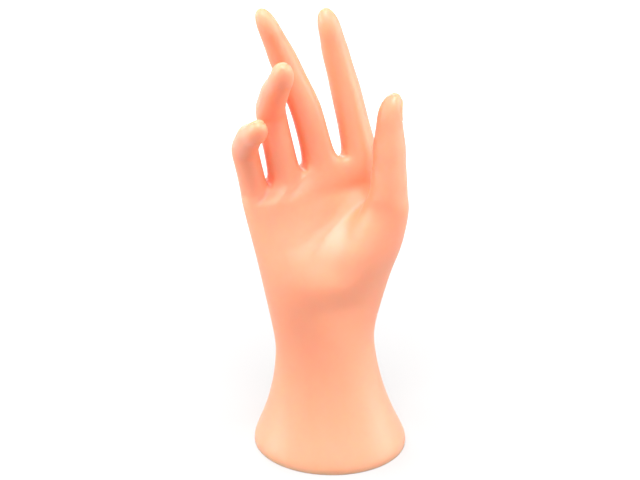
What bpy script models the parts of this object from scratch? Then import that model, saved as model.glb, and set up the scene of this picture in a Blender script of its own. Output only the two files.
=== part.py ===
"""A hand-shaped stand for rings, bracelets and gloves: one plastic moulding, palm to the front.

A short forearm rises from an oval foot, narrows at the wrist and widens into the palm. The
index and middle fingers stand up, the ring and little fingers curl forward, and the thumb stands
in front of the index side of the palm. The mesh is one cage: rings of points up the arm, which
fork into palm and thumb and fork again into the four fingers. A Subdivision Surface rounds it.

Metres, +Z up, palm facing -Y, thumb on the +X side. The origin is the centre of the foot's
flat underside.
"""

import math
from collections import namedtuple

import bmesh
import bpy
from mathutils import Matrix, Vector

# The foot: an oval with a rounded edge, a flat rim to its sole and a short upright band. A ring
# of points low on the band keeps the edge crisp.
FOOT_WIDTH = 0.0745
FOOT_DEPTH = 0.0678
FOOT_TURN = -25
FOOT_BAND = 0.0040
FOOT_EDGE_RADIUS = 0.0003
FOOT_EDGE_RING = 0.0013
FOOT_RIM = 0.0030

# The forearm, which narrows from the band to the wrist in a parabola.
FOREARM_LENGTH = 0.0520
WRIST_WIDTH = 0.0480
WRIST_DEPTH = 0.0335
WRIST_SHIFT = -0.0027

# An oval section of the hand: the place of its centre, its size, and how full its corners are.
# An angle is counted round the oval, with 180 at the little finger's side and 270 in front.
Oval = namedtuple("Oval", "x y width depth fullness")

# The heel of the palm, above the wrist.
HEEL_RISE = 0.0300
HEEL = Oval(x=-0.0021, y=0.0002, width=0.0600, depth=0.0380, fullness=2.4)
HEEL_SPLIT = (276, 288, 382, 394)

# The middle of the palm, above the heel: the palm, and the thumb's muscle in front of it.
BALL_RISE = 0.0205
PALM = Oval(x=-0.0068, y=0.0026, width=0.0586, depth=0.0342, fullness=2.3)
BALL = Oval(x=0.0150, y=-0.0076, width=0.0354, depth=0.0298, fullness=2.1)
BALL_SPLIT = (262, 212, 388, 372)

# The fork of the thumb, above the middle of the palm. An ease below 1 draws the columns of the
# palm's back away from the fork, so that they run straight up to the knuckles.
FORK_RISE = 0.0190
FORK = Oval(x=-0.0064, y=0.0062, width=0.0668, depth=0.0218, fullness=2.5)
FORK_WEB_ANGLE = 318
FORK_BACK_EASE = 0.6

# The row of finger roots, side by side. The web between neighbours falls by this much from its
# front edge to its middle, and by as much again to its back edge.
ROW_SHIFT = -0.0079
ROOT_BACK = 0.0085
WEB_FALL = 0.0016

# A finger starts at a height above the fork, with a web to the finger before it. Its lean and
# sways are turns towards the little finger's side, its forward turn and curls are towards the
# palm's side, in degrees. Its widths and depths are at the root, the two joints and the pad.
Finger = namedtuple("Finger", "rise web lean forward lengths curls sways widths depths")
LITTLE = Finger(
    rise=0.0090,
    web=0,
    lean=14.5,
    forward=12.5,
    lengths=(0.0210, 0.0186, 0.0196),
    curls=(41, 14),
    sways=(-7, -3),
    widths=(0.0126, 0.0124, 0.0116, 0.0102),
    depths=(0.0150, 0.0130, 0.0115, 0.0098),
)
RING = Finger(
    rise=0.0138,
    web=0.0012,
    lean=13.5,
    forward=7,
    lengths=(0.0333, 0.0229, 0.0250),
    curls=(45, 3),
    sways=(-3, -4),
    widths=(0.0146, 0.0138, 0.0124, 0.0104),
    depths=(0.0165, 0.0140, 0.0120, 0.0100),
)
MIDDLE = Finger(
    rise=0.0193,
    web=0.0018,
    lean=15.5,
    forward=4.5,
    lengths=(0.0263, 0.0287, 0.0266),
    curls=(4, 8),
    sways=(9.5, 1.2),
    widths=(0.0152, 0.0142, 0.0124, 0.0093),
    depths=(0.0170, 0.0148, 0.0128, 0.0100),
)
INDEX = Finger(
    rise=0.0208,
    web=0.0041,
    lean=12,
    forward=-5.5,
    lengths=(0.0300, 0.0200, 0.0202),
    curls=(5.5, 9.5),
    sways=(3.5, 0.5),
    widths=(0.0160, 0.0140, 0.0123, 0.0104),
    depths=(0.0170, 0.0148, 0.0128, 0.0100),
)
FINGERS = (LITTLE, RING, MIDDLE, INDEX)

# The thumb, turned so that its pad faces the fingers.
THUMB = Finger(
    rise=0.0010,
    web=0,
    lean=-2,
    forward=-1,
    lengths=(0.0140, 0.0155, 0.0254),
    curls=(2.0, 0.0),
    sways=(0, -1.5),
    widths=(0.0180, 0.0168, 0.0158, 0.0120),
    depths=(0.0200, 0.0165, 0.0150, 0.0108),
)
THUMB_ROOT_X = 0.0223
THUMB_ROOT_Y = -0.0156
THUMB_TURN = -100

# A fingertip is a dome whose point lies towards the nail, and a bone is narrower between joints.
TIP_DOME = 0.0090
TIP_BACK = 0.0022
BONE_WAIST = 0.04
NAIL_MARGIN = 0.0007
NAIL_RISE = 0.0004

# Swellings of the palm's side, each centred at a place across and a height above the wrist. A
# negative reach is a hollow.
Swelling = namedtuple("Swelling", "x rise across along reach")
HEEL_PAD = Swelling(x=-0.006, rise=0.036, across=0.016, along=0.008, reach=0.0030)
BALL_FOOT = Swelling(x=0.004, rise=0.044, across=0.007, along=0.008, reach=0.0014)
WRIST_DIP = Swelling(x=0.004, rise=0.024, across=0.012, along=0.010, reach=-0.0022)
OUTER_PAD = Swelling(x=-0.027, rise=0.074, across=0.010, along=0.010, reach=0.0014)
CREASE = Swelling(x=-0.009, rise=0.066, across=0.004, along=0.026, reach=-0.0010)
HOLLOW = Swelling(x=0.009, rise=0.072, across=0.009, along=0.006, reach=-0.0055)
SWELLINGS = (HEEL_PAD, BALL_FOOT, WRIST_DIP, OUTER_PAD, CREASE, HOLLOW)
SWELLING_DEPTH = 0.0100

# Each finger takes three columns of the cage in front and three behind.
FINGER_COLUMNS = 3
PALM_COLUMNS = 2 * (FINGER_COLUMNS * len(FINGERS) + 1)
THUMB_COLUMNS = 8
COLUMNS = PALM_COLUMNS + THUMB_COLUMNS - 2
FAR_SIDE = PALM_COLUMNS // 2
FOREARM_STEPS = 6
HEEL_STEPS = 4
BALL_STEPS = 3
FORK_STEPS = 2
KNUCKLE_STEPS = 4
BONE_STEPS = 3
DOME_ANGLES = (32, 64)
SUBDIVISIONS = 1

SKIN_COLOUR = (0.96, 0.50, 0.31)
SKIN_ROUGHNESS = 0.45

WRIST_HEIGHT = FOOT_BAND + FOREARM_LENGTH
HEEL_HEIGHT = WRIST_HEIGHT + HEEL_RISE
BALL_HEIGHT = HEEL_HEIGHT + BALL_RISE
FORK_HEIGHT = BALL_HEIGHT + FORK_RISE


def oval_point(angle, width, depth, fullness=2.0):
    """A point of an oval; a fullness of 2 is an ellipse, and more is nearer a rectangle."""
    across = math.cos(math.radians(angle))
    along = math.sin(math.radians(angle))
    power = 2 / fullness
    return Vector((
        math.copysign(abs(across) ** power, across) * width / 2,
        math.copysign(abs(along) ** power, along) * depth / 2,
        0,
    ))


def shrink_of(columns):
    """How far a ring of this many control points shrinks when it is subdivided."""
    return (2 + math.cos(math.tau / columns)) / 3


def spread(first, last, count):
    return [first + (last - first) * step / (count - 1) for step in range(count)]


def oval_ring(oval, z, angles, turn=0):
    """Points of an oval at these angles, with its width turned about the vertical."""
    grow = 1 / shrink_of(COLUMNS)
    centre = Vector((oval.x, oval.y, z))
    rotation = Matrix.Rotation(math.radians(turn), 3, "Z")
    size = (oval.width * grow, oval.depth * grow, oval.fullness)
    return [centre + rotation @ oval_point(angle - turn, *size) for angle in angles]


def arm_ring(oval, z, turn=0):
    """A ring round the arm, from the little finger's side, across the front and round behind."""
    return oval_ring(oval, z, [180 + 360 * column / COLUMNS for column in range(COLUMNS)], turn)


def split_ring(palm, ball, z, split):
    """A ring in three stretches: the palm's front, the thumb's side and the palm's back."""
    front_end, thumb_start, thumb_end, back_start = split
    behind = PALM_COLUMNS - FAR_SIDE - 1
    return (
        oval_ring(palm, z, spread(180, front_end, FAR_SIDE))
        + oval_ring(ball, z, spread(thumb_start, thumb_end, THUMB_COLUMNS - 1))
        + oval_ring(palm, z, spread(back_start, 540, behind + 1)[:-1])
    )


def fork_ring():
    """The palm at the fork. Its far side faces the thumb, and its back columns stay well behind."""
    front = spread(180, FORK_WEB_ANGLE, FAR_SIDE + 1)
    behind = PALM_COLUMNS - FAR_SIDE
    shares = [(column / behind) ** FORK_BACK_EASE for column in range(1, behind)]
    back = [FORK_WEB_ANGLE + (540 - FORK_WEB_ANGLE) * share for share in shares]
    return oval_ring(FORK, FORK_HEIGHT, front + back)


def smooth_point(before, start, end, after, share):
    """A point between start and end, on a curve that comes from before and goes on to after."""
    span = (end - start).length
    leave = (end - before).normalized() * span
    arrive = (after - start).normalized() * span
    square, cube = share ** 2, share ** 3
    return (
        start * (2 * cube - 3 * square + 1)
        + leave * (cube - 2 * square + share)
        + end * (3 * square - 2 * cube)
        + arrive * (cube - square)
    )


def loft(before, start, end, after, steps):
    """The rings that lead from start, which is left out, to end."""
    return [
        [smooth_point(*points, step / steps) for points in zip(before, start, end, after)]
        for step in range(1, steps + 1)
    ]


def swell(points):
    """Moves the points of the palm's front out or in, to form its muscles and its hollow."""
    middle = sum(point.y for point in points) / len(points)
    for point in points:
        front = min(max((middle - point.y) / SWELLING_DEPTH, 0), 1)
        for swelling in SWELLINGS:
            across = (point.x - swelling.x) / swelling.across
            along = (point.z - WRIST_HEIGHT - swelling.rise) / swelling.along
            point.y -= swelling.reach * front * math.exp(-(across ** 2) - along ** 2)


def finger_ring(centre, frame, width, depth):
    grow = 1 / shrink_of(THUMB_COLUMNS)
    angles = [180 + 360 * column / THUMB_COLUMNS for column in range(THUMB_COLUMNS)]
    return [centre + frame @ oval_point(angle, width * grow, depth * grow) for angle in angles]


def turned(frame, sway, curl):
    """The frame turned sideways by sway and towards the palm's side by curl."""
    sideways = Matrix.Rotation(math.radians(-sway), 3, "Y")
    forward = Matrix.Rotation(math.radians(curl), 3, "X")
    return frame @ sideways @ forward


def finger_rings(finger, root, turn=0):
    """The rings of a finger from its root to its dome, with the point of its tip."""
    frame = turned(Matrix.Rotation(math.radians(turn), 3, "Z"), finger.lean, finger.forward)
    centre = root
    ring_frame = frame
    rings = []
    for bone, length in enumerate(finger.lengths):
        last = bone == len(finger.lengths) - 1
        straight = length - TIP_DOME if last else length
        for step in range(BONE_STEPS):
            share = step / BONE_STEPS
            waist = 1 - BONE_WAIST * math.sin(math.pi * share)
            width = waist * (finger.widths[bone] * (1 - share) + finger.widths[bone + 1] * share)
            depth = waist * (finger.depths[bone] * (1 - share) + finger.depths[bone + 1] * share)
            place = centre + frame.col[2] * straight * share
            rings.append(finger_ring(place, frame if step else ring_frame, width, depth))
        centre = centre + frame.col[2] * straight
        if not last:
            bent = turned(frame, finger.sways[bone], finger.curls[bone])
            ring_frame = frame.to_quaternion().slerp(bent.to_quaternion(), 0.5).to_matrix()
            frame = bent
    for angle in (0, *DOME_ANGLES):
        narrow = math.cos(math.radians(angle))
        place = centre + frame @ Vector((0, TIP_BACK, TIP_DOME)) * math.sin(math.radians(angle))
        rings.append(finger_ring(place, frame, finger.widths[-1] * narrow, finger.depths[-1] * narrow))
    return rings, centre + frame @ Vector((0, TIP_BACK, TIP_DOME))


def finger_roots():
    """The centre of each finger's root, packed side by side from the little finger on."""
    edge = ROW_SHIFT - sum(finger.widths[0] + finger.web for finger in FINGERS) / 2
    roots = []
    for finger in FINGERS:
        middle = edge + finger.web + finger.widths[0] / 2
        roots.append(Vector((middle, ROOT_BACK, FORK_HEIGHT + finger.rise)))
        edge += finger.web + finger.widths[0]
    return roots


def around_row(rings):
    """One ring round the whole row, from a ring of each of the four fingers."""
    half = 1 + FINGER_COLUMNS
    front = [point for ring in rings for point in ring[1:half]]
    back = [point for ring in reversed(rings) for point in ring[half + 1:]]
    return [rings[0][0], *front, rings[-1][half], *back]


def with_thumb(palm, thumb):
    """One ring round palm and thumb, without the two points that face each other."""
    return palm[:FAR_SIDE] + thumb[1:] + palm[FAR_SIDE + 1:]


def add_ring(bm, points):
    return [bm.verts.new(point) for point in points]


def bridge(bm, lower, upper):
    """The faces between two rings of points that run the same way round."""
    return [
        bm.faces.new((lower[side - 1], lower[side], upper[side], upper[side - 1]))
        for side in range(len(lower))
    ]


def climb(bm, verts, rings):
    """Bridges from a ring of vertices through each ring of points, to the last."""
    for points in rings:
        upper = add_ring(bm, points)
        bridge(bm, verts, upper)
        verts = upper
    return verts


def foot_rings():
    """The sole, the rounded edge and the forearm up to the wrist."""
    foot = Oval(0, 0, FOOT_WIDTH, FOOT_DEPTH, 2)
    rings = []
    edge = FOOT_EDGE_RADIUS
    for inset, z in ((FOOT_RIM, 0), (edge, 0), (0, edge), (0, FOOT_EDGE_RING)):
        smaller = foot._replace(width=foot.width - 2 * inset, depth=foot.depth - 2 * inset)
        rings.append(arm_ring(smaller, z, FOOT_TURN))
    for step in range(FOREARM_STEPS + 1):
        share = step / FOREARM_STEPS
        flare = (1 - share) ** 2
        width = WRIST_WIDTH + (FOOT_WIDTH - WRIST_WIDTH) * flare
        depth = WRIST_DEPTH + (FOOT_DEPTH - WRIST_DEPTH) * flare
        section = Oval(WRIST_SHIFT * share, 0, width, depth, 2)
        rings.append(arm_ring(section, FOOT_BAND + FOREARM_LENGTH * share, FOOT_TURN * (1 - share)))
    return rings


def cap_tip(bm, ring, tip):
    """Four faces that close a fingertip round its middle vertex."""
    middle = bm.verts.new(tip)
    for corner in range(0, THUMB_COLUMNS, 2):
        bm.faces.new((ring[corner - 1], ring[corner], ring[corner + 1], middle))


def raise_nail(bm, verts_by_ring):
    """Raises the nail on the back of a fingertip."""
    back = slice(THUMB_COLUMNS // 2 + 1, THUMB_COLUMNS)
    corners = {vert for ring in verts_by_ring for vert in ring[back]}
    faces = {face for vert in corners for face in vert.link_faces if corners.issuperset(face.verts)}
    bmesh.ops.inset_region(
        bm,
        faces=sorted(faces, key=lambda face: face.index),
        thickness=NAIL_MARGIN,
        depth=NAIL_RISE,
        use_even_offset=True,
    )


def grow_finger(bm, verts, rings, tip):
    """Builds one finger on its root's vertices."""
    added = [verts]
    for points in rings[1:]:
        added.append(climb(bm, added[-1], [points]))
    cap_tip(bm, added[-1], tip)
    bm.faces.index_update()
    raise_nail(bm, added[-4:-1])


def fill_web(bm, left, right, near, far):
    """Two faces between neighbours: left and right are rings, near and far their facing sides."""
    bm.faces.new((left[near - 1], right[far + 1], right[far], left[near]))
    bm.faces.new((left[near], right[far], right[far - 1], left[near + 1]))


def build_cage(bm):
    half = 1 + FINGER_COLUMNS
    fingers = [finger_rings(*pair) for pair in zip(FINGERS, finger_roots())]
    thumb_root = Vector((THUMB_ROOT_X, THUMB_ROOT_Y, FORK_HEIGHT + THUMB.rise))
    thumb_rings, thumb_tip = finger_rings(THUMB, thumb_root, THUMB_TURN)

    foot = foot_rings()
    heel = split_ring(HEEL, HEEL, HEEL_HEIGHT, HEEL_SPLIT)
    ball = split_ring(PALM, BALL, BALL_HEIGHT, BALL_SPLIT)
    palm = fork_ring()
    fork = with_thumb(palm, thumb_rings[0])
    knuckles = around_row([rings[0] for rings, _ in fingers])
    above = around_row([rings[1] for rings, _ in fingers])
    over_fork = with_thumb(knuckles, thumb_rings[1])
    hand = loft(foot[-2], foot[-1], heel, ball, HEEL_STEPS)
    hand += loft(foot[-1], heel, ball, fork, BALL_STEPS)
    hand += loft(heel, ball, fork, over_fork, FORK_STEPS)
    for ring in hand:
        swell(ring)

    sole = add_ring(bm, foot[0])
    bm.faces.new(reversed(sole))
    arm_top = climb(bm, sole, foot[1:] + hand)

    palm_middle, thumb_middle = add_ring(bm, (palm[FAR_SIDE], thumb_rings[0][0]))
    palm_verts = arm_top[:FAR_SIDE] + [palm_middle] + arm_top[-(PALM_COLUMNS - FAR_SIDE - 1):]
    thumb_verts = [thumb_middle] + arm_top[FAR_SIDE:FAR_SIDE + THUMB_COLUMNS - 1]
    fill_web(bm, palm_verts, thumb_verts, FAR_SIDE, 0)
    grow_finger(bm, thumb_verts, thumb_rings, thumb_tip)

    below = ball[:FAR_SIDE]
    below.append((ball[FAR_SIDE] + ball[FAR_SIDE + THUMB_COLUMNS - 2]) / 2)
    below += ball[-(PALM_COLUMNS - FAR_SIDE - 1):]
    fork_points = [vert.co.copy() for vert in palm_verts]
    palm_top = loft(below, fork_points, knuckles, above, KNUCKLE_STEPS)
    for ring in palm_top[:-1]:
        swell(ring)
    row = climb(bm, palm_verts, palm_top)

    roots = []
    for number, (rings, _) in enumerate(fingers):
        front = 1 + number * FINGER_COLUMNS
        back = PALM_COLUMNS - (number + 1) * FINGER_COLUMNS
        near = row[0] if number == 0 else add_ring(bm, [rings[0][0]])[0]
        far = row[FAR_SIDE] if number == len(FINGERS) - 1 else add_ring(bm, [rings[0][half]])[0]
        roots.append([near, *row[front:front + FINGER_COLUMNS], far, *row[back:back + FINGER_COLUMNS]])
    for left, right in zip(roots, roots[1:]):
        for middle, behind in ((left[half], left[half + 1]), (right[0], right[-1])):
            middle.co.z -= WEB_FALL
            behind.co.z -= 2 * WEB_FALL
        fill_web(bm, left, right, half, 0)
    for verts, (rings, tip) in zip(roots, fingers):
        grow_finger(bm, verts, rings, tip)


def plastic(name, colour, roughness):
    material = bpy.data.materials.new(name)
    material.use_nodes = True
    shader = material.node_tree.nodes["Principled BSDF"]
    shader.inputs["Base Color"].default_value = (*colour, 1)
    shader.inputs["Roughness"].default_value = roughness
    shader.inputs["Metallic"].default_value = 0
    return material


def make_hand():
    bm = bmesh.new()
    build_cage(bm)
    mesh = bpy.data.meshes.new("hand")
    bm.to_mesh(mesh)
    bm.free()
    mesh.materials.append(plastic("skin_tone_plastic", SKIN_COLOUR, SKIN_ROUGHNESS))
    mesh.shade_smooth()
    hand = bpy.data.objects.new("hand", mesh)
    bpy.context.scene.collection.objects.link(hand)
    smooth = hand.modifiers.new("rounding", "SUBSURF")
    smooth.levels = SUBDIVISIONS
    smooth.render_levels = SUBDIVISIONS
    smooth.use_limit_surface = False
    return hand


for old in list(bpy.data.objects):
    bpy.data.objects.remove(old)
make_hand()
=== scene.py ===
"""The looks of a hand-shaped jewelry stand: one satin plastic moulding in a light skin tone.

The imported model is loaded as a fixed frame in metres, +Z up, palm towards -Y, thumb towards +X.
The file then goes through the stand itself, the table it stands on, the lamps and the camera.
"""

import math
from collections import namedtuple

import bmesh
import bpy
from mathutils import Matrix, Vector


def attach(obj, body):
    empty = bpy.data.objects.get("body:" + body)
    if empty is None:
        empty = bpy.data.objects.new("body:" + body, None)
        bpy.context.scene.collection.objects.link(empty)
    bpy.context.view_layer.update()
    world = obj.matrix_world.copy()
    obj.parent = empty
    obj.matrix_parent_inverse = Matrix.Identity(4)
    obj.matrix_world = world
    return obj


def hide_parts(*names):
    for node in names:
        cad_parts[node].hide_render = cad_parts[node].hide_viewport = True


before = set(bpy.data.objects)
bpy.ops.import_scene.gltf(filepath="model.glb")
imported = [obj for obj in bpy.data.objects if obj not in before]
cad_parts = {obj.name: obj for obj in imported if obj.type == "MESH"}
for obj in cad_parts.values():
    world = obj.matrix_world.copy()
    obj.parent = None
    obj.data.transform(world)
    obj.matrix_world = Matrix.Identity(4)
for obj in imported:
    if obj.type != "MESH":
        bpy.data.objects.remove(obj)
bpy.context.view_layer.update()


# The stand: a right hand on a flared forearm, blow-moulded in one piece of soft PVC that is
# coloured all through. The faceted solid is copied, its facets are joined back into quads, and
# two rounds of subdivision give it the seamless skin of a polished mould.
HAND_SUBDIVISIONS = 2
SAME_POINT = 1e-6
FLAT_ENOUGH = math.radians(40)


def linear(hex_colour):
    """The linear RGBA of an sRGB hex colour."""
    channels = [int(hex_colour[start:start + 2], 16) / 255 for start in (1, 3, 5)]
    return [c / 12.92 if c <= 0.04045 else ((c + 0.055) / 1.055) ** 2.4 for c in channels] + [1]


def add_node(owner, kind, settings=(), links=()):
    """A node of a material or a world, with its settings, and its inputs set or linked."""
    tree = owner.node_tree
    node = tree.nodes.new(kind)
    for name, value in dict(settings).items():
        setattr(node, name, value)
    for name, value in dict(links).items():
        if isinstance(value, bpy.types.NodeSocket):
            tree.links.new(value, node.inputs[name])
        else:
            node.inputs[name].default_value = value
    return node


def smooth_copy(node, name):
    """A smooth, finer copy of a faceted CAD node, as an object of its own."""
    bm = bmesh.new()
    bm.from_mesh(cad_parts[node].data)
    bmesh.ops.remove_doubles(bm, verts=bm.verts, dist=SAME_POINT)
    bmesh.ops.join_triangles(
        bm,
        faces=bm.faces,
        angle_face_threshold=FLAT_ENOUGH,
        angle_shape_threshold=FLAT_ENOUGH,
    )
    mesh = bpy.data.meshes.new(name)
    bm.to_mesh(mesh)
    bm.free()
    mesh.shade_smooth()
    piece = bpy.data.objects.new(name, mesh)
    bpy.context.scene.collection.objects.link(piece)
    rounding = piece.modifiers.new("rounding", "SUBSURF")
    rounding.levels = HAND_SUBDIVISIONS
    rounding.render_levels = HAND_SUBDIVISIONS
    rounded = piece.evaluated_get(bpy.context.evaluated_depsgraph_get())
    piece.data = bpy.data.meshes.new_from_object(rounded)
    piece.modifiers.clear()
    return piece


# The nails, part of the same moulding: each is a plate that stands a little proud of the back of
# its fingertip, inside a fine groove. A fingertip has a middle, and points at a rise above the
# level and a turn from the front to the thumb's side. Its back faces the given way, or nearly so.
Fingertip = namedtuple("Fingertip", "middle rise turn back width")
BACK_OF_HAND = Vector((0, 1, 0))
CURLED_BACK = Vector((-0.07, 1, 0))
THUMB_BACK = Vector((1, -0.18, 0))
FINGERTIPS = {
    "little": Fingertip((-0.0403, -0.0207, 0.1695), 23, 1.5, CURLED_BACK, 0.0102),
    "ring": Fingertip((-0.0302, -0.0267, 0.1945), 35, -2, CURLED_BACK, 0.0104),
    "middle": Fingertip((-0.0294, -0.0027, 0.2109), 59, -56.5, BACK_OF_HAND, 0.0093),
    "index": Fingertip((0.0023, 0.0095, 0.2054), 71.5, -58.5, BACK_OF_HAND, 0.0104),
    "thumb": Fingertip((0.0216, -0.0175, 0.1723), 86.4, -26, THUMB_BACK, 0.0120),
}
# A nail is a full oval, its width a share of the fingertip's. Its plate rises by a small step over
# a short edge, and nothing moves further than the margin outside it.
NAIL_REACH = 0.0095
NAIL_WIDTH_SHARE = 0.74
NAIL_LENGTH = 0.0098
NAIL_SHIFT = 0.0008
NAIL_FULLNESS = 3.2
NAIL_EDGE = 0.00012
NAIL_STEP = 0.00015
GROOVE_DEPTH = 0.00025
GROOVE_WIDTH = 0.00035
NAIL_MARGIN = 0.0015


def direction(turn, rise):
    """The way at a turn from the front (-Y) to the thumb's side and a rise above the level."""
    turn, rise = math.radians(turn), math.radians(rise)
    level = math.cos(rise)
    return Vector((math.sin(turn) * level, -math.cos(turn) * level, math.sin(rise)))


def nail_distance(tip, point):
    """How far a point is outside the outline of a fingertip's nail, or below 0 inside it."""
    offset = point - Vector(tip.middle)
    along = direction(tip.turn, tip.rise)
    side = along.cross(tip.back).normalized()
    if offset.length > NAIL_REACH or offset.dot(side.cross(along)) < 0:
        return NAIL_REACH
    half_width = tip.width * NAIL_WIDTH_SHARE / 2
    across = abs(offset.dot(side)) / half_width
    down = abs(offset.dot(along) - NAIL_SHIFT) / (NAIL_LENGTH / 2)
    radius = (across ** NAIL_FULLNESS + down ** NAIL_FULLNESS) ** (1 / NAIL_FULLNESS)
    return (radius - 1) * half_width


def nail_relief(distance):
    """How far the skin stands proud at this distance from the nail's outline."""
    plate = 1 / (1 + math.exp(distance / NAIL_EDGE))
    groove = math.exp(-(((distance - NAIL_EDGE) / GROOVE_WIDTH) ** 2))
    return NAIL_STEP * plate - GROOVE_DEPTH * groove


def press_nails(mesh):
    """Makes the mesh finer at the nails, and then moves its points there along their normals."""
    bm = bmesh.new()
    bm.from_mesh(mesh)
    for tip in FINGERTIPS.values():
        near = {vert for vert in bm.verts if nail_distance(tip, vert.co) < NAIL_MARGIN}
        edges = [edge for edge in bm.edges if near.issuperset(edge.verts)]
        bmesh.ops.subdivide_edges(bm, edges=edges, cuts=1, use_grid_fill=True)
    bm.normal_update()
    for tip in FINGERTIPS.values():
        for vert in bm.verts:
            distance = nail_distance(tip, vert.co)
            if distance < NAIL_MARGIN:
                vert.co += vert.normal * nail_relief(distance)
    bm.to_mesh(mesh)
    bm.free()


# Soft PVC, moulded and coloured through: a satin skin, a little glossier than its IOR alone makes
# it, as its softener comes to the surface. Under it red light wanders far and blue less, so the
# shaded sides stay luminous and turn a deeper orange. The mould's grain is about 0.2 mm on such a
# piece, and is drawn coarser so that it shows.
PEACH = "#FFA17B"
PEACH_PALE = "#FFA784"
PVC_IOR = 1.53
FILM_GLOSS = 0.75
SATIN_ROUGHNESS = 0.45
GLOSS_DRIFT = 0.08
SCATTER_DEPTH_MM = (10.0, 4.5, 2.4)
MOTTLE_MM = 30.0
MOULD_WAVE_MM = 14.0
MOULD_WAVE_DEPTH_MM = 0.05
MOULD_GRAIN_MM = 0.9
MOULD_GRAIN_DEPTH_MM = 0.006


def moulded_pvc():
    material = bpy.data.materials.new("moulded_peach_pvc")
    material.use_nodes = True
    links = material.node_tree.links
    shader = material.node_tree.nodes["Principled BSDF"]
    place = add_node(material, "ShaderNodeTexCoord").outputs["Object"]

    def noise(size_mm, octaves):
        inputs = {"Vector": place, "Scale": 1000 / size_mm, "Detail": octaves}
        return add_node(material, "ShaderNodeTexNoise", links=inputs).outputs["Fac"]

    mottle = noise(MOTTLE_MM, octaves=2)
    tint = add_node(
        material,
        "ShaderNodeMix",
        settings={"data_type": "RGBA"},
        links={"Factor": mottle, "A": linear(PEACH), "B": linear(PEACH_PALE)},
    )
    links.new(tint.outputs["Result"], shader.inputs["Base Color"])
    gloss = add_node(
        material,
        "ShaderNodeMapRange",
        links={
            "Value": mottle,
            "To Min": SATIN_ROUGHNESS - GLOSS_DRIFT / 2,
            "To Max": SATIN_ROUGHNESS + GLOSS_DRIFT / 2,
        },
    )
    links.new(gloss.outputs["Result"], shader.inputs["Roughness"])
    wave = add_node(
        material,
        "ShaderNodeBump",
        links={
            "Height": noise(MOULD_WAVE_MM, octaves=1),
            "Distance": MOULD_WAVE_DEPTH_MM / 1000,
        },
    )
    grain = add_node(
        material,
        "ShaderNodeBump",
        links={
            "Height": noise(MOULD_GRAIN_MM, octaves=3),
            "Distance": MOULD_GRAIN_DEPTH_MM / 1000,
            "Normal": wave.outputs["Normal"],
        },
    )
    links.new(grain.outputs["Normal"], shader.inputs["Normal"])
    shader.inputs["IOR"].default_value = PVC_IOR
    shader.inputs["Specular IOR Level"].default_value = FILM_GLOSS
    shader.inputs["Subsurface Weight"].default_value = 1.0
    shader.inputs["Subsurface Radius"].default_value = [depth / 1000 for depth in SCATTER_DEPTH_MM]
    shader.inputs["Subsurface Scale"].default_value = 1.0
    return material


hand = smooth_copy("hand", "moulded_hand")
press_nails(hand.data)
hand.data.materials.append(moulded_pvc())
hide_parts("hand")
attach(hand, "root")


# The table: a sheet of matt paper under the stand that runs far past the picture on all sides.
# What the eye and a gloss see of it is lifted towards white: a little near the stand, where the
# stand's soft shadow stays, and more and more further out.
TABLE_REACH = 3.0
TABLE_GREY = "#9A9A9A"
PAPER_ROUGHNESS = 0.9
PAPER_GLOSS = 0.1
TABLE_LIFT_NEAR = 0.44
TABLE_LIFT_FAR = 1.0
TABLE_FADE_FROM = 0.15
TABLE_FADE_TO = 0.50


def seen(owner):
    """1 where the eye, a gloss or a clear piece shows a surface or world, 0 for bounced light."""
    rays = add_node(owner, "ShaderNodeLightPath").outputs
    shown = rays["Is Camera Ray"]
    for ray in ("Is Glossy Ray", "Is Transmission Ray"):
        shown = add_node(
            owner,
            "ShaderNodeMath",
            settings={"operation": "MAXIMUM"},
            links={0: shown, 1: rays[ray]},
        ).outputs["Value"]
    return shown


def paper_sheet():
    material = bpy.data.materials.new("matt_paper_sheet")
    material.use_nodes = True
    shader = material.node_tree.nodes["Principled BSDF"]
    shader.inputs["Base Color"].default_value = linear(TABLE_GREY)
    shader.inputs["Roughness"].default_value = PAPER_ROUGHNESS
    shader.inputs["Specular IOR Level"].default_value = PAPER_GLOSS
    distance = add_node(
        material,
        "ShaderNodeVectorMath",
        settings={"operation": "LENGTH"},
        links={0: add_node(material, "ShaderNodeTexCoord").outputs["Object"]},
    )
    whiteness = add_node(
        material,
        "ShaderNodeMapRange",
        links={
            "Value": distance.outputs["Value"],
            "From Min": TABLE_FADE_FROM,
            "From Max": TABLE_FADE_TO,
            "To Min": TABLE_LIFT_NEAR,
            "To Max": TABLE_LIFT_FAR,
        },
    )
    lift = add_node(
        material,
        "ShaderNodeMath",
        settings={"operation": "MULTIPLY"},
        links={0: seen(material), 1: whiteness.outputs["Result"]},
    )
    shader.inputs["Emission Color"].default_value = (1, 1, 1, 1)
    material.node_tree.links.new(lift.outputs["Value"], shader.inputs["Emission Strength"])
    return material


bm = bmesh.new()
bmesh.ops.create_grid(bm, x_segments=1, y_segments=1, size=TABLE_REACH)
table_mesh = bpy.data.meshes.new("table")
bm.to_mesh(table_mesh)
bm.free()
table = bpy.data.objects.new("table", table_mesh)
bpy.context.scene.collection.objects.link(table)
table.data.materials.append(paper_sheet())


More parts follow.
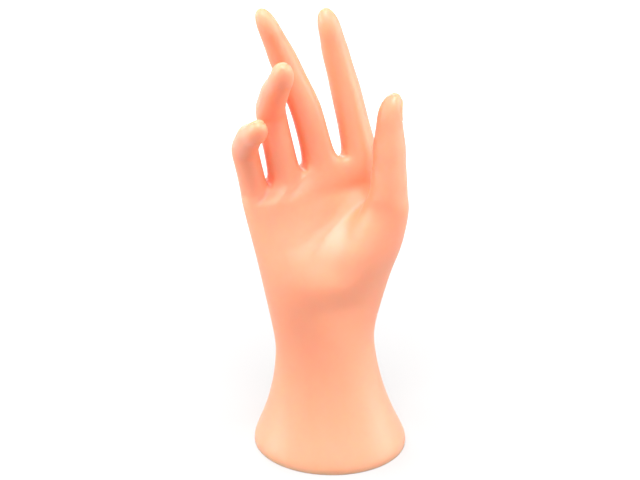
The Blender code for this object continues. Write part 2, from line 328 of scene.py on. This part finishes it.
# The lamps: soft square boxes on a ring about the stand. The strongest looks down from above the
# front, so the palm's bowl and the fingertips are pale; weaker ones light both sides and the back.
# A white tent round them all fills the shade.
TENT_LIGHT = 0.64
LAMP_AIM = Vector((0, 0, 0.11))
LAMP_DISTANCE = 1.3
LAMP_WIDTH = 0.8


def soft_lamp(name, turn, rise, watts):
    """A soft box that faces the stand, at a turn from the front and a rise above the level."""
    way = direction(turn, rise)
    lamp = bpy.data.lights.new(name, "AREA")
    lamp.shape = "SQUARE"
    lamp.size = LAMP_WIDTH
    lamp.energy = watts
    holder = bpy.data.objects.new(name, lamp)
    holder.location = LAMP_AIM + way * LAMP_DISTANCE
    holder.rotation_euler = way.to_track_quat("Z", "Y").to_euler()
    bpy.context.scene.collection.objects.link(holder)


soft_lamp("top_softbox", turn=-20, rise=62, watts=19)
soft_lamp("left_softbox", turn=-105, rise=14, watts=9.5)
soft_lamp("right_softbox", turn=70, rise=16, watts=8.5)
soft_lamp("back_softbox", turn=180, rise=25, watts=7)

tent = bpy.data.worlds.new("light_tent")
tent.use_nodes = True
glow = add_node(
    tent,
    "ShaderNodeMapRange",
    links={"Value": seen(tent), "To Min": TENT_LIGHT, "To Max": 1.0},
)
background = tent.node_tree.nodes["Background"]
background.inputs["Color"].default_value = (1, 1, 1, 1)
tent.node_tree.links.new(glow.outputs["Result"], background.inputs["Strength"])
bpy.context.scene.world = tent


# The camera: a little to the little finger's side, looking down on the palm through a long lens.
# Its aim is half-way up the stand.
CAMERA_TURN = -18.0
CAMERA_RISE = 30.87
CAMERA_DISTANCE = 0.700
CAMERA_AIM = Vector((-0.00514, 0, 0.10735))
CAMERA_LENS_MM = 78.64
CAMERA_SENSOR_MM = 36

camera = bpy.data.objects.new("camera", bpy.data.cameras.new("camera"))
camera.data.lens = CAMERA_LENS_MM
camera.data.sensor_width = CAMERA_SENSOR_MM
camera.location = direction(CAMERA_TURN, CAMERA_RISE) * CAMERA_DISTANCE
camera.rotation_euler = (CAMERA_AIM - camera.location).to_track_quat("-Z", "Y").to_euler()
bpy.context.scene.collection.objects.link(camera)
bpy.context.scene.camera = camera
bpy.context.scene.view_settings.view_transform = "Standard"
